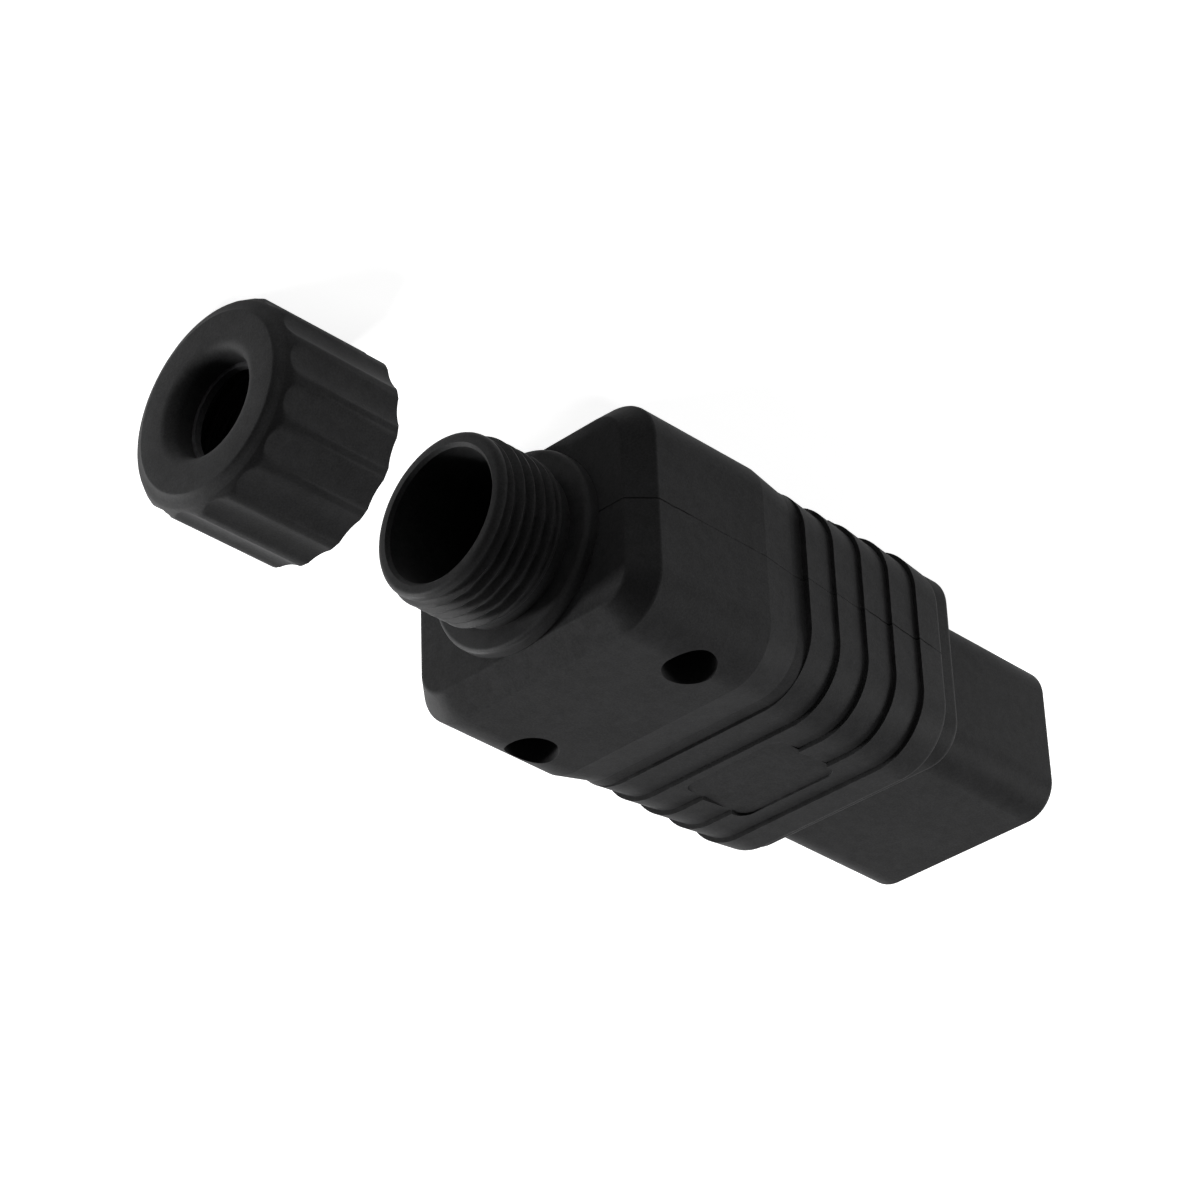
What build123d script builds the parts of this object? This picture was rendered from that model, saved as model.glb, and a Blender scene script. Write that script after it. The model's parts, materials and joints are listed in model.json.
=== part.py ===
from build123d import *
import os
from math import acos, cos

# Rewireable appliance connector with a screwed cable gland.
# Sizes are in millimetres. X points out of the mating face, Y across it and Z up,
# and the origin is the centre of the mating face.

# Nose and collar of the contact carrier
nose_half_width = 14.1
nose_half_height = 9.95
nose_corner = 4.2
nose_length = 20.2
nose_edge_round = 0.7
collar_half_width = 16.7
collar_half_height = 12.3
collar_drop = 0.9
collar_corner = 4.6
collar_length = 2.85
collar_edge_round = 0.8
carrier_neck_inset = 0.7
carrier_tail_length = 4.0
carrier_flange_half_width = 15.2
carrier_flange_half_height = 11.4
carrier_flange_length = 2.6

# Outside of the two half shells, back to front
block_half_width = 18.0
block_half_height = 14.25
block_corner = 6.2
block_length = 17.0
back_bevel_inset = 2.5
back_bevel_length = 2.8
back_edge_round = 0.5
waist_ramp_length = 4.95
waist_flat_length = 1.65
waist_side_inset = 0.62
waist_height_inset = 0.85
waist_corner = 5.9
rib_count = 5
rib_pitch = 4.67
rib_drop = 0.5
rib_crest_half_width = 18.15
rib_crest_half_height = 13.8
rib_crest_rise = 0.25
rib_crest_corner = 7.7
rib_sink = 0.2
last_rib_length = 4.76
front_edge_round = 0.9
collar_gap = 0.25
parting_gap = 0.06

# Inside of the shells
wall = 2.4
back_wall = 3.0
front_wall = 3.0
cavity_corner = 3.8
web = 1.4
lip_depth = 0.9
lip_width = 0.8
fit_gap = 0.1
stop_rib_opening_half_width = 12.0
stop_rib_opening_half_height = 8.5

# Bare pad among the ribs
pad_half_width = 7.2
pad_length = 10.2
pad_front = -30.7
pad_corner = 1.6
pad_height = 13.32

# Case screws
case_screw_back = 60.0
case_screw_half_spacing = 11.87
case_screw_hole_radius = 3.05
case_screw_head_radius = 2.8
case_screw_head_height = 2.3
case_screw_shaft_radius = 1.75
case_screw_depth = 10.0
case_screw_seat = 2.0
screw_hole_gap = 0.2
boss_radius = 4.6
lower_boss_radius = 3.7

# Contacts and terminals
pole_half_spacing = 6.5
row_half_spacing = 4.0
blade_width = 8.0
blade_thickness = 2.0
blade_clearance = 0.3
slot_entry_depth = 2.2
slot_entry_chamfer = 0.5
pocket_width = 9.4
pocket_height = 5.0
strip = 0.7
leaf_width = 7.8
leaf_reach = 16.8
leaf_flare = 1.9
leaf_pinch = 1.2
leaf_open = 1.75
tail_width = 4.6
tail_clearance = 0.2
cover_plate = 1.5
cover_rim = 1.1
cover_rim_length = 1.9
cage_length = 7.0
cage_width = 7.6
cage_side = 1.3
cage_base = 1.2
cage_roof = 2.2
cage_opening = 4.8
earth_drop = 6.0
row_to_cages = 2.3
earth_to_cages = 3.5
terminal_screw_radius = 1.75
terminal_head_radius = 2.7
terminal_head_height = 2.0
head_chamfer_share = 0.2
recess_arm_share = 0.62
recess_slit_share = 0.14
recess_depth_share = 0.55
clamp_travel = 3.0
clamp_plate = 0.8
running_gap = 0.05

# Cable gland
thread_radius = 10.0
thread_length = 8.2
spigot_bore_radius = 7.83
lip_radius = 9.6
lip_length = 1.15
lip_round = 0.8
bore_chamfer = 0.5
thread_lead_in = 0.3
relief_radius = 9.15
relief_length = 1.25
flange_radius = 11.86
flange_length = 1.65
flange_round = 0.7
neck_radius = 9.0
neck_clearance = 0.15
inner_flange_half = 10.5
inner_flange_length = 2.4
inner_flange_corner = 3.0
cradle_wall = 1.2

# Gland nut, slip washer and cable seal
nut_radius = 12.29
nut_length = 15.79
nut_front_wall = 3.14
nut_hole_radius = 5.77
nut_hole_round = 1.5
nut_face_radius = 10.4
nut_shoulder_radius = 11.55
nut_face_to_shoulder = 0.7
nut_face_to_side = 1.8
nut_face_round = 0.4
nut_mouth_chamfer = 0.5
thread_clearance = 0.06
flute_count = 16
flute_depth = 0.5
flute_radius = 6.0
washer_radius = 9.0
washer_hole_radius = 5.3
washer_thickness = 0.8
seal_collar_radius = 9.3
seal_collar_length = 1.2
seal_nose_length = 3.0
seal_root_radius = 7.5
seal_tip_radius = 6.6
seal_hole_radius = 4.6
seat_gap = 0.05

# Where the nut lies beside the connector, as it was taken off, with the seal in its mouth
nut_mouth_from_lip = 13.92
nut_aside = -3.31
seal_out_of_mouth = 0.35

# Places along X
collar_front = -nose_length
collar_back = collar_front - collar_length
shell_front = collar_back - collar_gap
last_step = shell_front - last_rib_length
first_step = last_step - (rib_count - 1) * rib_pitch
ramp_end = first_step - waist_flat_length
ramp_start = ramp_end - waist_ramp_length
side_start = ramp_start - block_length
back_face = side_start - back_bevel_length
cavity_back = back_face + back_wall
cavity_front = shell_front - front_wall
carrier_flange_front = cavity_front - fit_gap
carrier_flange_back = carrier_flange_front - carrier_flange_length
carrier_back = carrier_flange_back - carrier_tail_length
cover_back = carrier_back - fit_gap - cover_plate
stop_rib_front = cover_back - 2 * fit_gap
cages_front = stop_rib_front - row_to_cages
cages_back = cages_front - cage_length
earth_cage_front = cages_back - earth_to_cages
earth_cage_back = earth_cage_front - cage_length
case_screw_x = -case_screw_back
flange_face = back_face - flange_length
relief_end = flange_face - relief_length
thread_end = relief_end - thread_length
lip_face = thread_end - lip_length
inner_flange_front = cavity_back + fit_gap + inner_flange_length
nut_mouth = lip_face - nut_mouth_from_lip
nut_front = nut_mouth - nut_length
nut_dome = nut_front + nut_front_wall

# The nut lies on the two ridges beside its lowest flute
flute_centre_radius = nut_radius - flute_depth + flute_radius
flute_half_angle = acos(
    (flute_centre_radius**2 + nut_radius**2 - flute_radius**2) / (2 * flute_centre_radius * nut_radius)
)
nut_drop = nut_radius * cos(flute_half_angle) - block_half_height
nut_centre = (nut_aside, nut_drop)

cavity_half_width = block_half_width - wall
cavity_half_height = block_half_height - wall
row_level = -row_half_spacing
earth_level = row_half_spacing
earth_cage_level = earth_level - earth_drop


def across(x, y=0.0, z=0.0):
    """Plane square to X at a place, with Y to its right and Z up."""
    return Plane((x, y, z), x_dir=(0, 1, 0), z_dir=(1, 0, 0))


def section(x, half_width, half_height, corner, sink=0.0):
    return across(x, 0, -sink) * RectangleRounded(2 * half_width, 2 * half_height, corner)


def bar(x_back, x_front, half_width, half_height, corner):
    """Rounded bar along X."""
    return extrude(section(x_back, half_width, half_height, corner), amount=x_front - x_back)


def plain_box(x_back, x_front, y_low, y_high, z_low, z_high):
    corner = Pos(x_back, y_low, z_low)
    size = (x_front - x_back, y_high - y_low, z_high - z_low)
    return corner * Box(*size, align=(Align.MIN, Align.MIN, Align.MIN))


def rod(x_back, x_front, radius, y=0.0, z=0.0):
    """Round bar along X."""
    return extrude(across(x_back, y, z) * Circle(radius), amount=x_front - x_back)


def post(x, y, z_low, z_high, radius):
    """Round bar along Z."""
    return Pos(x, y, z_low) * Cylinder(radius, z_high - z_low, align=(Align.CENTER, Align.CENTER, Align.MIN))


def rings_at(part, x, radius):
    """Round edges about X with this radius at this place."""
    rounds = part.edges().filter_by(GeomType.CIRCLE)
    return [edge for edge in rounds if abs(edge.center().X - x) < 0.01 and abs(edge.radius - radius) < 0.01]


def edges_at(part, x):
    """All edges that lie in the plane square to X at this place."""
    boxes = [(edge, edge.bounding_box()) for edge in part.edges()]
    return [edge for edge, box in boxes if abs(box.min.X - x) < 0.01 and abs(box.max.X - x) < 0.01]


def level_slab(z_low, z_high):
    """Everything between two heights, past the outline of the shells."""
    reach = 2 * block_half_width
    return plain_box(back_face - 1, shell_front + 1, -reach, reach, z_low, z_high)


def upper_half(form):
    return form & level_slab(parting_gap / 2, 2 * block_half_height)


def lower_half(form):
    return form & level_slab(-2 * block_half_height, -parting_gap / 2)


def waist_section(x):
    half_width = block_half_width - waist_side_inset
    half_height = block_half_height - waist_height_inset
    return section(x, half_width, half_height, waist_corner, rib_sink)


def block_form():
    """Square back block with a bevelled end, and the waist that runs in to the ribs."""
    form = loft(
        [
            section(
                back_face,
                block_half_width - back_bevel_inset,
                block_half_height - back_bevel_inset,
                block_corner - back_bevel_inset,
            ),
            section(side_start, block_half_width, block_half_height, block_corner),
            section(ramp_start, block_half_width, block_half_height, block_corner),
            waist_section(ramp_end),
            waist_section(first_step),
        ],
        ruled=True,
    )
    return fillet(edges_at(form, side_start) + edges_at(form, back_face), back_edge_round)


def rib_form(index):
    """One grip rib: a sharp step facing the gland, then a fall towards the nose."""
    x_back = first_step + index * rib_pitch
    last = index == rib_count - 1
    x_front = shell_front if last else x_back + rib_pitch
    crest = rib_crest_half_height + rib_crest_rise * index / (rib_count - 1)
    fallen = [size - rib_drop for size in (rib_crest_half_width, crest, rib_crest_corner)]
    rib = loft(
        [
            section(x_back, rib_crest_half_width, crest, rib_crest_corner, rib_sink),
            section(x_front, *fallen, rib_sink),
        ],
        ruled=True,
    )
    return fillet(edges_at(rib, x_front), front_edge_round) if last else rib


def shell_form():
    form = block_form()
    for index in range(rib_count):
        form += rib_form(index)
    return form


def shell_cavity():
    chamber = bar(cavity_back, cavity_front, cavity_half_width, cavity_half_height, cavity_corner)
    nose_way = bar(
        cavity_front - 1,
        shell_front + 1,
        nose_half_width - carrier_neck_inset + fit_gap,
        nose_half_height - carrier_neck_inset + fit_gap,
        nose_corner - carrier_neck_inset,
    )
    neck_way = rod(back_face - 1, cavity_back + 1, neck_radius + neck_clearance)
    return chamber + nose_way + neck_way


def gland_cradle():
    """Square seat behind the back wall that keeps the gland from turning."""
    pocket_half = inner_flange_half + fit_gap
    pocket_front = inner_flange_front + fit_gap
    outer_half = pocket_half + cradle_wall
    cradle = bar(cavity_back, pocket_front + web, outer_half, cavity_half_height + fit_gap, fit_gap)
    cradle -= bar(cavity_back, pocket_front, pocket_half, pocket_half, inner_flange_corner)
    cradle -= rod(cavity_back, pocket_front + web, spigot_bore_radius + 6 * fit_gap)
    return cradle


def stop_rib():
    """Frame that holds the carrier's cover from behind."""
    frame = bar(
        stop_rib_front - web,
        stop_rib_front,
        cavity_half_width + fit_gap,
        cavity_half_height + fit_gap,
        cavity_corner,
    )
    return frame - bar(
        stop_rib_front - web,
        stop_rib_front,
        stop_rib_opening_half_width,
        stop_rib_opening_half_height,
        cavity_corner,
    )


def lip_ring(extra, depth):
    """Tongue round the inside of the joint between the shells."""
    outer = bar(
        cavity_back,
        cavity_front,
        cavity_half_width + lip_width + extra,
        depth,
        fit_gap,
    )
    inner = bar(cavity_back - 1, cavity_front + 1, cavity_half_width, depth + 1, fit_gap)
    return outer - inner


def screw_places():
    return [(case_screw_x, side * case_screw_half_spacing) for side in (-1, 1)]


def pad_block(z_low, z_high):
    """Upright block with the outline of the bare pad among the ribs."""
    outline = RectangleRounded(pad_length, 2 * pad_half_width, pad_corner)
    return extrude(Pos(pad_front - pad_length / 2, 0, z_low) * outline, amount=z_high - z_low)


def upper_shell():
    """Half shell with the pad, the screw bosses and the tongue of the joint."""
    shell = upper_half(shell_form() - shell_cavity())
    shell += pad_block(pad_height - rib_drop, pad_height)
    shell -= pad_block(pad_height, block_half_height + rib_drop)
    shell += upper_half(gland_cradle() + stop_rib())
    for x, y in screw_places():
        shell += upper_half(post(x, y, 0, cavity_half_height + fit_gap, boss_radius)) & shell_limit()
        shell -= post(x, y, case_screw_seat, 2 * block_half_height, case_screw_hole_radius)
        shell -= post(x, y, -1, case_screw_seat + 1, case_screw_shaft_radius + screw_hole_gap)
    return shell + (lip_ring(0.0, lip_depth) & level_slab(-lip_depth, parting_gap))


def shell_limit():
    """Space inside the outer faces, so that a boss never shows outside."""
    inset = wall / 2
    return bar(
        side_start,
        ramp_start,
        block_half_width - inset,
        block_half_height - inset,
        block_corner - inset,
    )


def cage_supports():
    """Cross walls and cheeks of the lower shell that carry the three terminals."""
    floor = -cavity_half_height - fit_gap
    row_seat = row_level - strip / 2 - cage_base
    earth_seat = earth_cage_level - strip / 2 - cage_base
    supports = Part()
    for x in (cages_front - cage_length / 4, cages_back + cage_length / 4):
        supports += plain_box(x - web / 2, x + web / 2, -cavity_half_width, cavity_half_width, floor, row_seat)
    for side in (-1, 1):
        cheek = side * (pole_half_spacing + cage_width / 2 + fit_gap + web / 2)
        supports += plain_box(
            cages_back, cages_front, cheek - web / 2, cheek + web / 2, floor, row_seat + cage_opening
        )
        earth_cheek = side * (cage_width / 2 + fit_gap + web / 2)
        supports += plain_box(
            earth_cage_back,
            earth_cage_front,
            earth_cheek - web / 2,
            earth_cheek + web / 2,
            floor,
            earth_seat + cage_opening,
        )
    for x in (earth_cage_front - cage_length / 4, earth_cage_back + cage_length / 4):
        reach = cage_width / 2 + web
        supports += plain_box(x - web / 2, x + web / 2, -reach, reach, floor, earth_seat)
    divider_top = row_seat + cage_base + cage_opening
    supports += plain_box(cages_back, stop_rib_front - web / 2, -web / 2, web / 2, floor, divider_top)
    return supports


def lower_shell():
    """Half shell with the terminal seats, the screw bosses and the groove of the joint."""
    groove_depth = lip_depth + fit_gap
    shell = lower_half(shell_form() - shell_cavity())
    shell += lower_half(gland_cradle() + stop_rib())
    shell += cage_supports()
    for x, y in screw_places():
        boss = lower_half(post(x, y, -cavity_half_height - fit_gap, 0, lower_boss_radius))
        shell += boss & shell_limit()
        shell -= post(x, y, -case_screw_depth - 1, 1, case_screw_shaft_radius + fit_gap)
    return shell - (lip_ring(fit_gap, groove_depth) & level_slab(-groove_depth, 1))


def poles():
    """Name, side and level of the line, neutral and earth ways."""
    return (
        ("line", -pole_half_spacing, row_level),
        ("neutral", pole_half_spacing, row_level),
        ("earth", 0.0, earth_level),
    )


def slot(x, width, height, y, z):
    return across(x, y, z) * Rectangle(width, height)


def contact_carrier():
    """Nose, collar and rear body in one moulding, with a way through for each blade."""
    neck_half_width = nose_half_width - carrier_neck_inset
    neck_half_height = nose_half_height - carrier_neck_inset
    neck_corner = nose_corner - carrier_neck_inset
    nose = bar(collar_back, 0, nose_half_width, nose_half_height, nose_corner)
    nose = fillet(edges_at(nose, 0), nose_edge_round)
    collar = bar(collar_back, collar_front, collar_half_width, collar_half_height, collar_corner)
    collar = Pos(0, 0, -collar_drop) * fillet(edges_at(collar, collar_front), collar_edge_round)
    flange = bar(
        carrier_flange_back,
        carrier_flange_front,
        carrier_flange_half_width,
        carrier_flange_half_height,
        cavity_corner,
    )
    carrier = nose + collar + flange
    carrier += bar(carrier_back, collar_back, neck_half_width, neck_half_height, neck_corner)
    slot_width = blade_width + 2 * blade_clearance
    slot_height = blade_thickness + 2 * blade_clearance
    for _, y, z in poles():
        pocket = slot(carrier_back, pocket_width, pocket_height, y, z)
        entry = slot(-slot_entry_depth - 1, slot_width, slot_height, y, z)
        carrier -= extrude(pocket, amount=-carrier_back - slot_entry_depth)
        carrier -= extrude(entry, amount=slot_entry_depth + 2)
        carrier -= loft(
            [
                slot(-slot_entry_chamfer, slot_width, slot_height, y, z),
                slot(0, slot_width + 2 * slot_entry_chamfer, slot_height + 2 * slot_entry_chamfer, y, z),
            ],
            ruled=True,
        )
    return carrier


def carrier_cover():
    """Cap that closes the contact pockets, with a slit for each tail."""
    rim_half_width = nose_half_width - carrier_neck_inset + fit_gap
    rim_half_height = nose_half_height - carrier_neck_inset + fit_gap
    rim_corner = nose_corner - carrier_neck_inset
    rim_front = carrier_back + cover_rim_length
    cover = bar(
        cover_back,
        rim_front,
        rim_half_width + cover_rim,
        rim_half_height + cover_rim,
        rim_corner + cover_rim,
    )
    cover -= bar(cover_back + cover_plate, rim_front, rim_half_width, rim_half_height, rim_corner)
    for _, y, z in poles():
        cover -= extrude(
            slot(cover_back, tail_width + 2 * tail_clearance, strip + 2 * tail_clearance, y, z),
            amount=cover_plate,
        )
    return cover


def bent_strip(points, width, bend):
    """Metal strip of constant thickness along a path in the XZ plane."""
    path = FilletPolyline(*points, radius=bend) if len(points) > 2 else Line(*points)
    return extrude(Plane.XZ * trace(path, line_width=strip), amount=width / 2, both=True)


def contact(level, y, tail_points):
    """Two springy leaves that grip the blade, and the tail to the terminal."""
    mouth = -slot_entry_depth - strip
    root = mouth - leaf_reach
    leaf = [
        (mouth, leaf_flare),
        (mouth - leaf_reach / 5, leaf_pinch),
        (mouth - leaf_reach / 2, leaf_open),
        (root, leaf_open),
    ]
    other_leaf = [(x, -z) for x, z in reversed(leaf)]
    piece = bent_strip(leaf + other_leaf, leaf_width, strip)
    piece += bent_strip([(root, 0.0)] + tail_points, tail_width, strip)
    return Pos(0, y, level) * piece


def row_contact(y):
    return contact(row_level, y, [(cages_back + strip, 0.0)])


def earth_contact():
    """The earth tail passes over the other two terminals, then steps down to its own."""
    step_front = cages_back + strip
    step_back = earth_cage_front + strip
    return contact(
        earth_level,
        0.0,
        [(step_front, 0.0), (step_back, -earth_drop), (earth_cage_back + strip, -earth_drop)],
    )


def terminals():
    """Name, centre and tail level of each terminal."""
    row_middle = (cages_front + cages_back) / 2
    earth_middle = (earth_cage_front + earth_cage_back) / 2
    return (
        ("line", row_middle, -pole_half_spacing, row_level),
        ("neutral", row_middle, pole_half_spacing, row_level),
        ("earth", earth_middle, 0.0, earth_cage_level),
    )


def terminal_cage(x, y, level):
    """Brass cage round the tail, with a threaded roof."""
    floor = level - strip / 2
    ceiling = floor + cage_opening
    inner_half = cage_width / 2 - cage_side
    cage = plain_box(
        x - cage_length / 2,
        x + cage_length / 2,
        y - cage_width / 2,
        y + cage_width / 2,
        floor - cage_base,
        ceiling + cage_roof,
    )
    cage = chamfer(cage.edges().filter_by(Axis.X), 3 * fit_gap)
    cage -= plain_box(
        x - cage_length, x + cage_length, y - inner_half, y + inner_half, floor, ceiling
    )
    return cage - post(x, y, ceiling - 1, ceiling + cage_roof + 1, terminal_screw_radius + running_gap)


def clamp_plate_top(level):
    return level - strip / 2 + cage_opening - running_gap


def clamp_plate_piece(x, y, level):
    """Loose plate that the screw presses on the conductor."""
    top = clamp_plate_top(level)
    inner_half = cage_width / 2 - cage_side - fit_gap
    reach = cage_length / 2 - strip
    plate = plain_box(x - reach, x + reach, y - inner_half, y + inner_half, top - clamp_plate, top)
    return chamfer(plate.edges().filter_by(Axis.Y), clamp_plate / 4)


def screw(x, y, tip, seat, shaft_radius, head_radius, head_height):
    """Cheese-head screw with a cross recess, standing on its tip."""
    piece = post(x, y, tip, seat, shaft_radius) + post(x, y, seat, seat + head_height, head_radius)
    top = seat + head_height
    piece = chamfer(piece.edges().group_by(Axis.Z)[-1], head_height * head_chamfer_share)
    arm = head_radius * recess_arm_share
    slit = head_radius * recess_slit_share
    depth = head_height * recess_depth_share
    for reach_x, reach_y in ((arm, slit), (slit, arm)):
        piece -= plain_box(x - reach_x, x + reach_x, y - reach_y, y + reach_y, top - depth, top + 1)
    return piece


def terminal_screw(x, y, level):
    tip = clamp_plate_top(level) + running_gap
    seat = level - strip / 2 + cage_opening + cage_roof + clamp_travel + 2 * running_gap
    return screw(x, y, tip, seat, terminal_screw_radius, terminal_head_radius, terminal_head_height)


def case_screw(x, y):
    seat = case_screw_seat + running_gap
    return screw(
        x, y, -case_screw_depth, seat, case_screw_shaft_radius, case_screw_head_radius, case_screw_head_height
    )


def gland_body():
    """Threaded spigot, round outer flange, and square inner flange held by the shells."""
    body = rod(lip_face, thread_end, lip_radius)
    thread = rod(thread_end, relief_end, thread_radius)
    body += chamfer(rings_at(thread, thread_end, thread_radius), thread_lead_in)
    body += rod(relief_end, flange_face, relief_radius)
    flange = rod(flange_face, back_face, flange_radius)
    body += fillet(rings_at(flange, flange_face, flange_radius), flange_round)
    body += rod(back_face, cavity_back + fit_gap, neck_radius)
    body += bar(
        cavity_back + fit_gap, inner_flange_front, inner_flange_half, inner_flange_half, inner_flange_corner
    )
    body -= rod(lip_face - 1, inner_flange_front + 1, spigot_bore_radius)
    body = fillet(rings_at(body, lip_face, lip_radius), lip_round)
    return chamfer(rings_at(body, lip_face, spigot_bore_radius), bore_chamfer)


def nut_form():
    """Solid outline of the nut: a flat face, a sloping shoulder and round sides."""
    side_front = nut_front + nut_face_to_side
    head = loft(
        [
            across(nut_front) * Circle(nut_face_radius),
            across(nut_front + nut_face_to_shoulder) * Circle(nut_shoulder_radius),
            across(side_front) * Circle(nut_radius),
        ],
        ruled=True,
    )
    head = fillet(rings_at(head, nut_front, nut_face_radius), nut_face_round)
    return head + rod(side_front, nut_mouth, nut_radius)


def gland_nut():
    """Cap nut with a rounded cable hole and sixteen grip flutes."""
    nut = nut_form() - rod(nut_front - 1, nut_mouth + 1, nut_hole_radius)
    nut = fillet(rings_at(nut, nut_front, nut_hole_radius), nut_hole_round)
    nut -= rod(nut_dome, nut_mouth + 1, thread_radius + thread_clearance)
    nut = chamfer(rings_at(nut, nut_mouth, thread_radius + thread_clearance), nut_mouth_chamfer)
    cutter = rod(nut_front - 1, nut_mouth + 1, flute_radius, flute_centre_radius)
    for index in range(flute_count):
        nut -= Rot(360 / flute_count * index, 0, 0) * cutter
    return Pos(0, *nut_centre) * nut


def slip_washer():
    """Hard washer between the nut and the seal, so that the seal doesn't turn."""
    back = nut_dome + seat_gap
    washer = rod(back, back + washer_thickness, washer_radius)
    washer -= rod(back - 1, back + washer_thickness + 1, washer_hole_radius)
    return Pos(0, *nut_centre) * washer


def cable_seal():
    """Rubber bush: a collar for the spigot's lip and a tapered nose that enters it."""
    collar_face = nut_mouth + seal_out_of_mouth
    collar = rod(collar_face - seal_collar_length, collar_face, seal_collar_radius)
    nose = loft(
        [
            across(collar_face) * Circle(seal_root_radius),
            across(collar_face + seal_nose_length) * Circle(seal_tip_radius),
        ]
    )
    seal = collar + nose
    seal -= rod(collar_face - seal_collar_length - 1, collar_face + seal_nose_length + 1, seal_hole_radius)
    return Pos(0, *nut_centre) * seal


def pieces():
    """Every piece by its node name."""
    found = {
        "upper_shell": upper_shell(),
        "lower_shell": lower_shell(),
        "contact_carrier": contact_carrier(),
        "carrier_cover": carrier_cover(),
        "line_contact": row_contact(-pole_half_spacing),
        "neutral_contact": row_contact(pole_half_spacing),
        "earth_contact": earth_contact(),
        "gland_body": gland_body(),
        "gland_nut": gland_nut(),
        "slip_washer": slip_washer(),
        "cable_seal": cable_seal(),
    }
    for name, x, y, level in terminals():
        found[name + "_terminal"] = terminal_cage(x, y, level)
        found[name + "_clamp_plate"] = clamp_plate_piece(x, y, level)
        found[name + "_terminal_screw"] = terminal_screw(x, y, level)
    for name, (x, y) in zip(("case_screw_left", "case_screw_right"), screw_places()):
        found[name] = case_screw(x, y)
    return found


os.makedirs("parts", exist_ok=True)
for node, piece in pieces().items():
    export_step(piece, "parts/" + node + ".step")
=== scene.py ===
import json
from math import asin, ceil, cos, radians, sin, sqrt, tau

import bpy
from mathutils import Matrix, Vector


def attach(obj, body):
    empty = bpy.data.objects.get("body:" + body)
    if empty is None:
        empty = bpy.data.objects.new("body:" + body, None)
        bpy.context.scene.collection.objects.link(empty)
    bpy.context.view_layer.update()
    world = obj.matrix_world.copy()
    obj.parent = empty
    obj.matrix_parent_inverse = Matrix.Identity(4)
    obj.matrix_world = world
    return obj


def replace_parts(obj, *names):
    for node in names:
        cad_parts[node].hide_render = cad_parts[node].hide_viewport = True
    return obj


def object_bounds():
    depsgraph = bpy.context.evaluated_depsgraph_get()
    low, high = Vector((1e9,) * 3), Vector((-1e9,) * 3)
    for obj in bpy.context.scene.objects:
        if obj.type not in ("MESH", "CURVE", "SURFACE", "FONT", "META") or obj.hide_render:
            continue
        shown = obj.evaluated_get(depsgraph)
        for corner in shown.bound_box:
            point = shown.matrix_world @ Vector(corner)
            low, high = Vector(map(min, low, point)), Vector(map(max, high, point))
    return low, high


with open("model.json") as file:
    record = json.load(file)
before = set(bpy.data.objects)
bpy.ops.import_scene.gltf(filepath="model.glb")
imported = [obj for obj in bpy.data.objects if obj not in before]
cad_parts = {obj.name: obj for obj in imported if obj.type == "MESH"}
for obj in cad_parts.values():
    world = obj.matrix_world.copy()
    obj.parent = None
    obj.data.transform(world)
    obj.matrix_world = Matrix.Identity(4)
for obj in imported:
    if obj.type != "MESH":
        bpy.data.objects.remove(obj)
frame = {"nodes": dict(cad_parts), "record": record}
cad_box = [list(corner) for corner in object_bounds()]

MM = 0.001
WHITE = (1.0, 1.0, 1.0)

# Camera, from a fit to the photo
CAMERA_PLACE = Vector((-0.346457, 0.26704, 0.243389))
CAMERA_AIM = Vector((-0.06028, -0.000468, 0.0))
CAMERA_ROLL = radians(177.7226)
CAMERA_LENS = 126.07
CAMERA_SENSOR = 36.0
CAMERA_REACH = 20.0

# Area lights: name, place, width, height and power
LIGHTS = (
    ("front_key", (0.702, 0.44, 0.187), 0.4, 0.3, 6.0),
    ("left_low", (-0.509, -0.778, 0.06), 0.3, 0.12, 8.5),
    ("left_side", (-0.06, -0.88, 0.187), 0.3, 0.2, 5.9),
    ("left_top", (0.0565, -0.435, 0.779), 0.3, 0.3, 4.5),
)
LIGHT_AIM = Vector((-0.06, 0.0, 0.0))
WORLD_STRENGTH = 0.02

# Floor
FLOOR_HALF = 3.0
FLOOR_COLOUR = (0.8, 0.8, 0.8)
FLOOR_GLOW = 0.85

# Sizes of the marks on plastic
GRAIN_SIZE = 0.22 * MM
GRAIN_DEPTH = 0.05 * MM
CLOUD_SIZE = 1.5 * MM
MOTTLE_SIZE = 7 * MM
EDGE_RADIUS = 0.25 * MM
EDGE_COSINE = 0.85

# Strength of the marks on plastic: tones as shares of the colour, and spans of noise
DARK_TONE = 0.72
LIGHT_TONE = 1.26
TONE_SPAN = (0.4, 0.6)
# Lighter rubbed edges are partly wear and partly a painted highlight
RUBBED_AND_HIGHLIT_SPAN = (0.45, 0.7)
MOST_RUBBED_AND_HIGHLIT = 0.7
ROUGHNESS_SPREAD = 0.05

# Parting line, with its open stretches: middle and half length along X
SEAM_HALF = 0.13 * MM
SEAM_BLACK = (0.001, 0.001, 0.001)
SEAM_FADE = 1.5 * MM
CLOSED_SEAM = 0.12
OPEN_SEAMS = ((-69.3 * MM, 4.8 * MM), (-31.3 * MM, 6.5 * MM))

# Plastics and rubber: colour, colour on rubbed edges (edge wear and painted highlight), roughness, strength
# of the grain and shine
PLASTIC_BLACK = (0.0215, 0.0215, 0.022)
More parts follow.
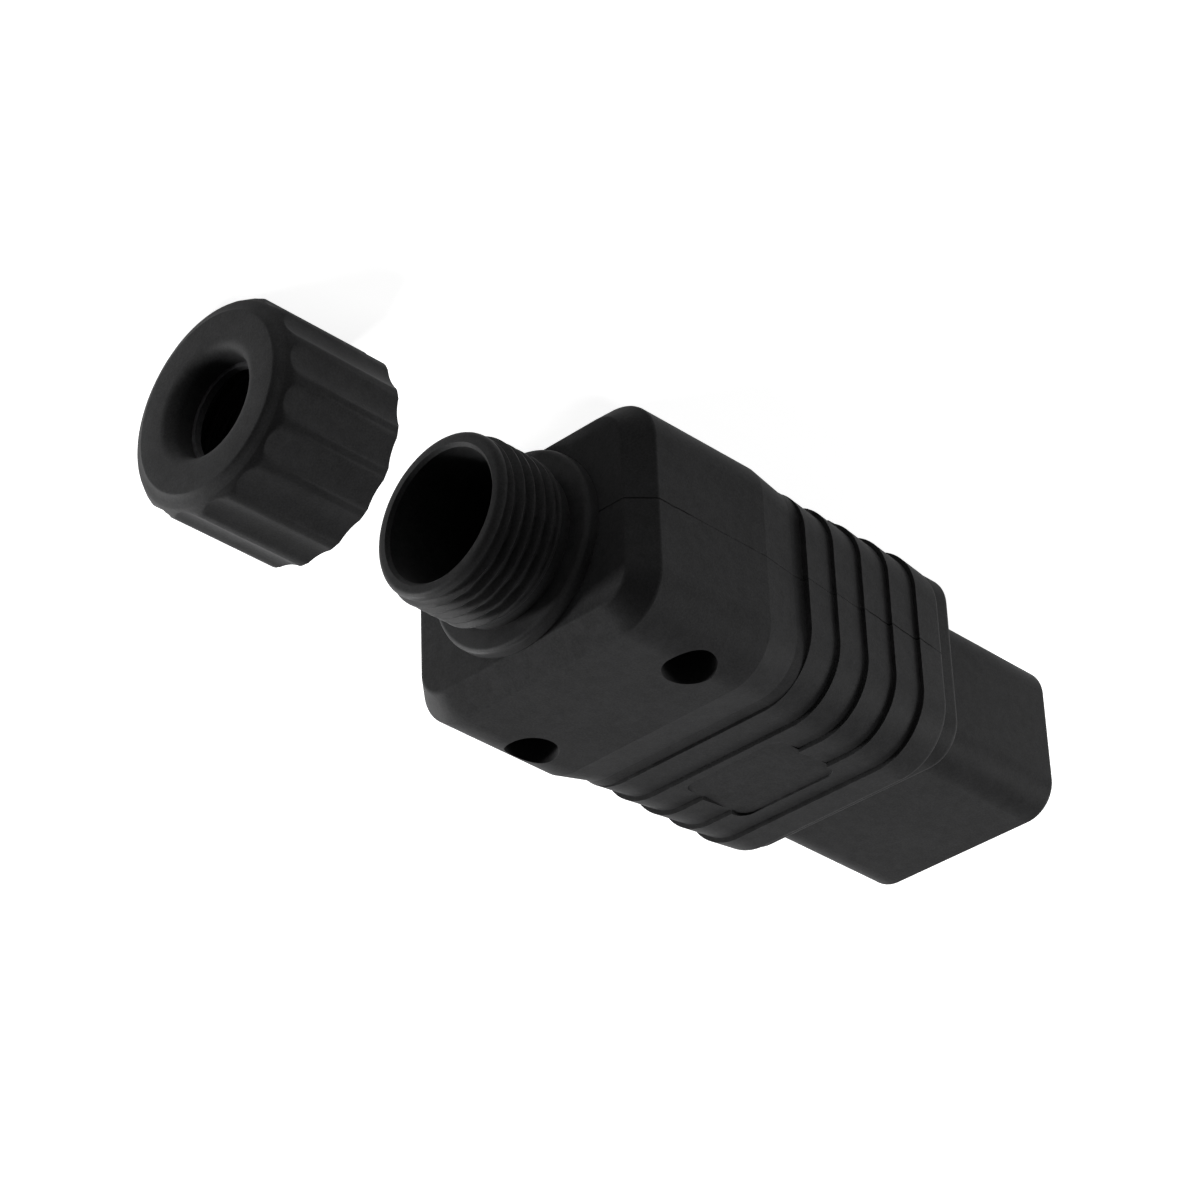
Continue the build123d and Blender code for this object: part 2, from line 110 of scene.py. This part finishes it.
# Lighter colour on edges: partly rubbed wear, partly a painted highlight
PLASTIC_WORN_AND_HIGHLIT = (0.042, 0.042, 0.043)
PLASTICS = {
    "shell_plastic": (PLASTIC_BLACK, PLASTIC_WORN_AND_HIGHLIT, 0.62, 0.35, 0.045),
    "nose_plastic": (PLASTIC_BLACK, PLASTIC_WORN_AND_HIGHLIT, 0.58, 0.25, 0.045),
    "gland_plastic": (PLASTIC_BLACK, PLASTIC_WORN_AND_HIGHLIT, 0.5, 0.12, 0.045),
    "nut_plastic": (PLASTIC_BLACK, PLASTIC_WORN_AND_HIGHLIT, 0.6, 0.35, 0.045),
    "inner_plastic": ((0.05, 0.05, 0.052), PLASTIC_WORN_AND_HIGHLIT, 0.5, 0.1, 0.045),
    "seal_rubber": ((0.018, 0.018, 0.018), (0.04, 0.04, 0.04), 0.75, 0.3, 0.1),
}

# Metals: colour, roughness and strength of the fine marks
METALS = {
    "contact_brass": ((0.62, 0.6, 0.55), 0.35, 0.1),
    "terminal_brass": ((0.66, 0.5, 0.24), 0.3, 0.15),
    "clamp_steel": ((0.5, 0.5, 0.5), 0.35, 0.15),
    "screw_steel": ((0.45, 0.45, 0.46), 0.32, 0.12),
}
METAL_PATCH_SIZE = 1.2 * MM
METAL_MARK_SIZE = 0.12 * MM
METAL_MARK_DEPTH = 0.02 * MM
METAL_DULL_TONE = 0.75
METAL_DULL_SPAN = (0.35, 0.7)
METAL_DULL_ROUGHNESS = 0.15

# Span of noise over which roughness and the parting line's place change
NOISE_SPAN = (0.3, 0.7)

# Gland spigot, along X from the lip to the square flange inside the shells, as in the CAD model
LIP_FACE = -85.39 * MM
LIP_RADIUS = 9.6 * MM
LIP_CHAMFER = 0.4 * MM
LIP_ROUND = 0.75 * MM
LIP_TO_THREAD = 0.25 * MM
THREAD_END = -84.24 * MM
RELIEF_END = -76.04 * MM
RELIEF_RADIUS = 9.15 * MM
FLANGE_FACE = -74.79 * MM
FLANGE_RADIUS = 11.86 * MM
FLANGE_ROUND = 0.65 * MM
BACK_FACE = -73.14 * MM
NECK_RADIUS = 9.0 * MM
INNER_FLANGE_BACK = -70.04 * MM
INNER_FLANGE_FRONT = -67.64 * MM
INNER_FLANGE_HALF = 10.5 * MM
INNER_FLANGE_CORNER = 3.0 * MM
BORE_RADIUS = 7.83 * MM
GLAND_COLUMNS = 160

# Thread of the spigot and the nut: a crest passes this place on the side that faces the camera
PITCH = 1.5 * MM
CREST_RADIUS = 10.0 * MM
ROOT_RADIUS = 9.2 * MM
CREST_PLACE = -83.67 * MM
CREST_ANGLE = radians(42)
CREST_HALF = 0.1 * MM
FLANK_SLOPE = 1.73
THREAD_FADE = 0.7 * MM
THREAD_STEP = 0.1 * MM

# Nut, as in the CAD model
NUT_CENTRE = (-3.31 * MM, -2.118 * MM)
NUT_FRONT = -115.1 * MM
NUT_DOME = -111.96 * MM
NUT_MOUTH = -99.31 * MM
NUT_RADIUS = 12.29 * MM
NUT_HOLE = 5.77 * MM
NUT_HOLE_ROUND = 1.5 * MM
NUT_FACE_RADIUS = 10.1 * MM
NUT_FACE_ROUND = 0.4 * MM
NUT_SIDE_START = 1.8 * MM
NUT_MOUTH_BEVEL = 0.15 * MM
NUT_MOUTH_CHAMFER = 0.5 * MM
NUT_BORE = 10.06 * MM
NUT_THREAD_CREST = 9.42 * MM
FLUTES = 16
FLUTE_COLUMNS = 20
FLUTE_DEPTH = 0.5 * MM
FLUTE_RADIUS = 6.0 * MM

# Slopes round the nut's face, each from one place to another: depth behind the face and radius in mm
NUT_SLOPES = (((0.45, 11.1), (0.7, 11.55)), ((0.75, 11.6), (1.3, 12.05)))

# Surfaces of the added pieces that meet at more than this angle show an edge
SHARP_ANGLE = radians(40)


class Graph:
    """A material's node tree, with short ways to add and join nodes."""

    def __init__(self, name):
        self.material = bpy.data.materials.new(name)
        self.material.use_nodes = True
        self.tree = self.material.node_tree
        self.shader = self.tree.nodes["Principled BSDF"]

    def add(self, kind, settings=None, **inputs):
        node = self.tree.nodes.new("ShaderNode" + kind)
        for key, value in (settings or {}).items():
            setattr(node, key, value)
        for key, value in inputs.items():
            self.feed(node.inputs[key.replace("_", " ")], value)
        return node

    def feed(self, socket, value):
        """Link a socket to another one, or set its value."""
        if isinstance(value, bpy.types.NodeSocket):
            self.tree.links.new(value, socket)
        elif isinstance(value, (tuple, list)) and len(value) == 3 and socket.type == "RGBA":
            socket.default_value = (*value, 1.0)
        else:
            socket.default_value = value

    def set(self, **inputs):
        """Feed inputs of the shader by their names."""
        for key, value in inputs.items():
            self.feed(self.shader.inputs[key.replace("_", " ")], value)

    def place(self):
        return self.add("TexCoord").outputs["Object"]

    def noise(self, size, detail, roughness):
        place = self.place()
        node = self.add("TexNoise", Vector=place, Scale=1.0 / size, Detail=detail, Roughness=roughness)
        return node.outputs["Fac"]

    def span(self, value, low, high, to_low, to_high):
        """A value scaled from one span to another, and kept within it."""
        node = self.add("MapRange", Value=value)
        for key, number in (("From Min", low), ("From Max", high), ("To Min", to_low), ("To Max", to_high)):
            node.inputs[key].default_value = number
        return node.outputs["Result"]

    def math(self, operation, *values):
        node = self.add("Math", {"operation": operation})
        for socket, value in zip(node.inputs, values):
            self.feed(socket, value)
        return node.outputs[0]

    def mix(self, share, first, second):
        node = self.add("Mix", {"data_type": "RGBA"})
        self.feed(node.inputs[0], share)
        self.feed(node.inputs[6], first)
        self.feed(node.inputs[7], second)
        return node.outputs[2]

    def wave(self, along, across):
        """A place across a line that wanders a little along it."""
        noise = self.add("TexNoise", {"noise_dimensions": "1D"}, W=along, Scale=1 / CLOUD_SIZE)
        wander = self.span(noise.outputs["Fac"], *NOISE_SPAN, -0.5 * SEAM_HALF, 0.5 * SEAM_HALF)
        return self.math("ADD", across, wander)

    def edges(self, radius):
        """How far the surface turns within a radius: 0 on flats, more on edges."""
        rounded = self.add("Bevel", {"samples": 4}, Radius=radius).outputs["Normal"]
        true = self.add("NewGeometry").outputs["Normal"]
        node = self.add("VectorMath", {"operation": "DOT_PRODUCT"})
        self.feed(node.inputs[0], rounded)
        self.feed(node.inputs[1], true)
        return self.span(node.outputs["Value"], 1.0, EDGE_COSINE, 0.0, 1.0)

    def bump(self, height, strength, distance):
        node = self.add("Bump", Height=height, Strength=strength, Distance=distance)
        self.feed(self.shader.inputs["Normal"], node.outputs["Normal"])


def open_seam(graph):
    """Share of the parting line that stands open and dark, at the block's back and along the ribs."""
    place = graph.add("SeparateXYZ", Vector=graph.place())
    off = graph.math("ABSOLUTE", graph.wave(place.outputs["X"], place.outputs["Z"]))
    near = graph.span(off, 0.5 * SEAM_HALF, SEAM_HALF, 1.0, 0.0)
    stretches = []
    for middle, half in OPEN_SEAMS:
        from_middle = graph.math("ABSOLUTE", graph.math("SUBTRACT", place.outputs["X"], middle))
        stretches.append(graph.span(from_middle, half - SEAM_FADE, half, 1.0, CLOSED_SEAM))
    return graph.math("MULTIPLY", near, graph.math("MAXIMUM", *stretches))


def moulded_plastic(name, colour, worn_and_highlit, roughness, grain, specular, seam=None):
    """Black moulded plastic or rubber with a fine texture, faint mottling, and edges lightened in patches,
    partly as wear and partly as a painted highlight.
    """
    graph = Graph(name)
    mottle = graph.noise(MOTTLE_SIZE, 4.0, 0.6)
    cloud = graph.noise(CLOUD_SIZE, 5.0, 0.7)
    fine = graph.noise(GRAIN_SIZE, 2.0, 0.6)
    dark = tuple(channel * DARK_TONE for channel in colour)
    light = tuple(channel * LIGHT_TONE for channel in colour)
    tone = graph.math("MULTIPLY", graph.math("ADD", mottle, graph.math("ADD", cloud, fine)), 1 / 3)
    base = graph.mix(graph.span(tone, *TONE_SPAN, 0.0, 1.0), dark, light)
    # Edges lightened in noisy patches: partly rubbed wear, partly a painted highlight that stands in for
    # the shine on thread crests and lip edges
    patches = graph.span(graph.noise(CLOUD_SIZE, 3.0, 0.6), *RUBBED_AND_HIGHLIT_SPAN, 0.0, MOST_RUBBED_AND_HIGHLIT)
    rubbed_and_highlit = graph.math("MULTIPLY", graph.edges(EDGE_RADIUS), patches)
    base = graph.mix(rubbed_and_highlit, base, worn_and_highlit)
    if seam:
        base = graph.mix(seam(graph), base, SEAM_BLACK)
    smoother, rougher = roughness - ROUGHNESS_SPREAD, roughness + ROUGHNESS_SPREAD
    graph.set(Base_Color=base, Specular_IOR_Level=specular)
    graph.set(Roughness=graph.span(mottle, *NOISE_SPAN, smoother, rougher))
    graph.bump(fine, grain, GRAIN_DEPTH)
    return graph.material


def metal(name, colour, roughness, scratches):
    """Plated or machined metal with fine marks and dull patches."""
    graph = Graph(name)
    patches = graph.noise(METAL_PATCH_SIZE, 3.0, 0.6)
    dull = tuple(channel * METAL_DULL_TONE for channel in colour)
    graph.set(Base_Color=graph.mix(graph.span(patches, *METAL_DULL_SPAN, 0.0, 1.0), colour, dull))
    graph.set(Roughness=graph.span(patches, *NOISE_SPAN, roughness, roughness + METAL_DULL_ROUGHNESS))
    graph.set(Metallic=1.0)
    graph.bump(graph.noise(METAL_MARK_SIZE, 2.0, 0.5), scratches, METAL_MARK_DEPTH)
    return graph.material


def stage_material(name, colour, glow):
    """Pale surface that shows white to the camera and in reflections, and keeps its shadow."""
    graph = Graph(name)
    path = graph.add("LightPath")
    seen = graph.math("MAXIMUM", path.outputs["Is Camera Ray"], path.outputs["Is Glossy Ray"])
    seen = graph.math("MAXIMUM", seen, path.outputs["Is Transmission Ray"])
    graph.set(Base_Color=colour, Roughness=1.0, Specular_IOR_Level=0.0, Emission_Color=WHITE)
    graph.set(Emission_Strength=graph.math("MULTIPLY", seen, glow))
    return graph.material


def make_finishes():
    """One material for each slot of the record, by the slot's name."""
    finishes = {}
    for name, look in PLASTICS.items():
        seam = open_seam if name == "shell_plastic" else None
        finishes[name] = moulded_plastic(name, *look, seam=seam)
    for name, look in METALS.items():
        finishes[name] = metal(name, *look)
    return finishes


def finish_cad_nodes():
    """Every CAD node takes the finish of its material slot."""
    for subpart in frame["record"]["subparts"]:
        node = frame["nodes"][subpart["node"]]
        for place in node.material_slots:
            place.material = finishes[subpart["material_slot"]]


def new_piece(mesh, body, slot):
    """Object for a finished mesh, under the mesh's name, riding on a body, with its finish."""
    piece = bpy.data.objects.new(mesh.name, mesh)
    bpy.context.scene.collection.objects.link(piece)
    mesh.materials.append(finishes[slot])
    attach(piece, body)
    return piece


def arc(x, radius, size, start, end, steps=6):
    """Points of a round in the X and radius plane, centred at a place, from one angle to another."""
    turns = [radians(start + (end - start) * step / steps) for step in range(steps + 1)]
    return [(x + size * cos(turn), radius + size * sin(turn)) for turn in turns]


def run(first, last, step):
    """Evenly spaced points from one place to another, both included."""
    count = ceil(max(abs(last[0] - first[0]), abs(last[1] - first[1])) / step)
    return [tuple(a + (b - a) * k / count for a, b in zip(first, last)) for k in range(count + 1)]


def lathe(name, outline, columns, centre, radius_at):
    """Closed mesh turned about X from a closed outline, with its radius shaped at each place and angle."""
    vertices = []
    for x, radius in outline:
        for column in range(columns):
            angle = tau * column / columns
            reach = radius_at(x, radius, angle)
            vertices.append((x, centre[0] + reach * cos(angle), centre[1] + reach * sin(angle)))
    faces = []
    for row in range(len(outline)):
        here = row * columns
        there = (row + 1) % len(outline) * columns
        for column in range(columns):
            beside = (column + 1) % columns
            faces.append((here + column, here + beside, there + beside, there + column))
    mesh = bpy.data.meshes.new(name)
    mesh.from_pydata(vertices, [], faces)
    mesh.polygons.foreach_set("use_smooth", [True] * len(faces))
    mesh.set_sharp_from_angle(angle=SHARP_ANGLE)
    return mesh


def thread_height(x, angle, start, end):
    """Share of the full thread, from 0 at its root to 1 at its crest, fading out at both ends."""
    turns = (x - CREST_PLACE) / PITCH - (angle - CREST_ANGLE) / tau
    from_crest = abs(turns - round(turns)) * PITCH
    rise = 1 - FLANK_SLOPE * max(0.0, from_crest - CREST_HALF) / (CREST_RADIUS - ROOT_RADIUS)
    fade = min(1.0, (x - start) / THREAD_FADE, (end - x) / THREAD_FADE)
    return max(0.0, rise) * max(0.0, fade)


def square_reach(angle, half, corner):
    """How far a square with rounded corners reaches at an angle."""
    across, up = abs(cos(angle)), abs(sin(angle))
    reach = half / max(across, up)
    if reach * min(across, up) <= half - corner:
        return reach
    inner = half - corner
    return inner * (across + up) + sqrt(corner**2 - (inner * (across - up)) ** 2)


def gland_reach(x, radius, angle):
    """How far the spigot reaches at an angle: threaded, square at the inner flange, or round."""
    if THREAD_END < x < RELIEF_END and radius == ROOT_RADIUS:
        return radius + (CREST_RADIUS - ROOT_RADIUS) * thread_height(x, angle, THREAD_END, RELIEF_END)
    if radius == INNER_FLANGE_HALF:
        return square_reach(angle, INNER_FLANGE_HALF, INNER_FLANGE_CORNER)
    return radius


def flute_reach(angle):
    """How far the nut reaches at an angle, between ridges and flutes."""
    centre = NUT_RADIUS - FLUTE_DEPTH + FLUTE_RADIUS
    step = tau / FLUTES
    aside = centre * sin(angle - step * round(angle / step))
    if abs(aside) >= FLUTE_RADIUS:
        return NUT_RADIUS
    return centre * cos(asin(aside / centre)) - sqrt(FLUTE_RADIUS**2 - aside**2)


def nut_reach(x, radius, angle):
    """How far the nut reaches at an angle: threaded in its bore, fluted outside, or round."""
    if x > NUT_DOME and radius == NUT_BORE:
        return radius - (NUT_BORE - NUT_THREAD_CREST) * thread_height(x, angle, NUT_DOME, NUT_MOUTH)
    return min(radius, flute_reach(angle))


def make_gland():
    """The spigot with its thread, in place of the plain CAD one."""
    outline = [(LIP_FACE + LIP_CHAMFER, BORE_RADIUS), (LIP_FACE, BORE_RADIUS + LIP_CHAMFER)]
    outline += arc(LIP_FACE + LIP_ROUND, LIP_RADIUS - LIP_ROUND, LIP_ROUND, 180, 90)
    outline += [(THREAD_END - LIP_TO_THREAD, LIP_RADIUS)]
    outline += run((THREAD_END, ROOT_RADIUS), (RELIEF_END, ROOT_RADIUS), THREAD_STEP)
    outline += [(RELIEF_END, RELIEF_RADIUS), (FLANGE_FACE, RELIEF_RADIUS)]
    outline += arc(FLANGE_FACE + FLANGE_ROUND, FLANGE_RADIUS - FLANGE_ROUND, FLANGE_ROUND, 180, 90)
    outline += [(BACK_FACE, FLANGE_RADIUS), (BACK_FACE, NECK_RADIUS), (INNER_FLANGE_BACK, NECK_RADIUS)]
    outline += [(INNER_FLANGE_BACK, INNER_FLANGE_HALF), (INNER_FLANGE_FRONT, INNER_FLANGE_HALF)]
    outline += [(INNER_FLANGE_FRONT, BORE_RADIUS)]
    mesh = lathe("gland_spigot", outline, GLAND_COLUMNS, (0.0, 0.0), gland_reach)
    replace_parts(new_piece(mesh, "housing", "gland_plastic"), "gland_body")


def make_nut():
    """The nut with its ridges and inner thread, in place of the plain CAD one."""
    outline = [(NUT_DOME, NUT_HOLE)]
    outline += arc(NUT_FRONT + NUT_HOLE_ROUND, NUT_HOLE + NUT_HOLE_ROUND, NUT_HOLE_ROUND, 270, 180, 8)
    outline += arc(NUT_FRONT + NUT_FACE_ROUND, NUT_FACE_RADIUS, NUT_FACE_ROUND, 180, 120, 3)
    for slope in NUT_SLOPES:
        ends = [(NUT_FRONT + depth * MM, radius * MM) for depth, radius in slope]
        outline += run(*ends, THREAD_STEP)
    outline += [(NUT_FRONT + NUT_SIDE_START, NUT_RADIUS), (NUT_MOUTH - NUT_MOUTH_BEVEL, NUT_RADIUS)]
    outline += [(NUT_MOUTH, NUT_RADIUS - NUT_MOUTH_BEVEL), (NUT_MOUTH, NUT_BORE + NUT_MOUTH_CHAMFER)]
    outline += run((NUT_MOUTH - NUT_MOUTH_CHAMFER, NUT_BORE), (NUT_DOME, NUT_BORE), THREAD_STEP)
    mesh = lathe("cap_nut", outline, FLUTES * FLUTE_COLUMNS, NUT_CENTRE, nut_reach)
    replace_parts(new_piece(mesh, "nut", "nut_plastic"), "gland_nut")


def add_camera():
    data = bpy.data.cameras.new("camera")
    data.lens = CAMERA_LENS
    data.sensor_width = CAMERA_SENSOR
    data.clip_end = CAMERA_REACH
    camera = bpy.data.objects.new("camera", data)
    bpy.context.scene.collection.objects.link(camera)
    aim = (CAMERA_AIM - CAMERA_PLACE).to_track_quat("-Z", "Y").to_matrix()
    turned = aim @ Matrix.Rotation(CAMERA_ROLL, 3, "Z")
    camera.matrix_world = Matrix.Translation(CAMERA_PLACE) @ turned.to_4x4()
    bpy.context.scene.camera = camera


def add_lights():
    for name, place, width, height, power in LIGHTS:
        data = bpy.data.lights.new(name, "AREA")
        data.shape = "RECTANGLE"
        data.size = width
        data.size_y = height
        data.energy = power
        lamp = bpy.data.objects.new(name, data)
        bpy.context.scene.collection.objects.link(lamp)
        lamp.location = place
        lamp.rotation_euler = (LIGHT_AIM - Vector(place)).to_track_quat("-Z", "Y").to_euler()


def add_world():
    """World that shows white to the camera and in reflections, and lights the object only faintly."""
    world = bpy.data.worlds.new("studio")
    bpy.context.scene.world = world
    world.use_nodes = True
    tree = world.node_tree
    path = tree.nodes.new("ShaderNodeLightPath")
    strength = path.outputs["Is Camera Ray"]
    for ray in ("Is Glossy Ray", "Is Transmission Ray"):
        larger = tree.nodes.new("ShaderNodeMath")
        larger.operation = "MAXIMUM"
        tree.links.new(strength, larger.inputs[0])
        tree.links.new(path.outputs[ray], larger.inputs[1])
        strength = larger.outputs[0]
    faint = tree.nodes.new("ShaderNodeMath")
    faint.operation = "MAXIMUM"
    tree.links.new(strength, faint.inputs[0])
    faint.inputs[1].default_value = WORLD_STRENGTH
    background = tree.nodes["Background"]
    background.inputs["Color"].default_value = (*WHITE, 1.0)
    tree.links.new(faint.outputs[0], background.inputs["Strength"])


def add_floor(level):
    mesh = bpy.data.meshes.new("floor")
    corners = [(x * FLOOR_HALF, y * FLOOR_HALF, level) for x, y in ((-1, -1), (1, -1), (1, 1), (-1, 1))]
    mesh.from_pydata(corners, [], [(0, 1, 2, 3)])
    floor = bpy.data.objects.new("floor", mesh)
    bpy.context.scene.collection.objects.link(floor)
    mesh.materials.append(stage_material("floor_white", FLOOR_COLOUR, FLOOR_GLOW))


finishes = make_finishes()
add_camera()
add_world()
add_lights()
add_floor(cad_box[0][2])
finish_cad_nodes()
make_gland()
make_nut()
bpy.context.scene.view_settings.view_transform = "Standard"
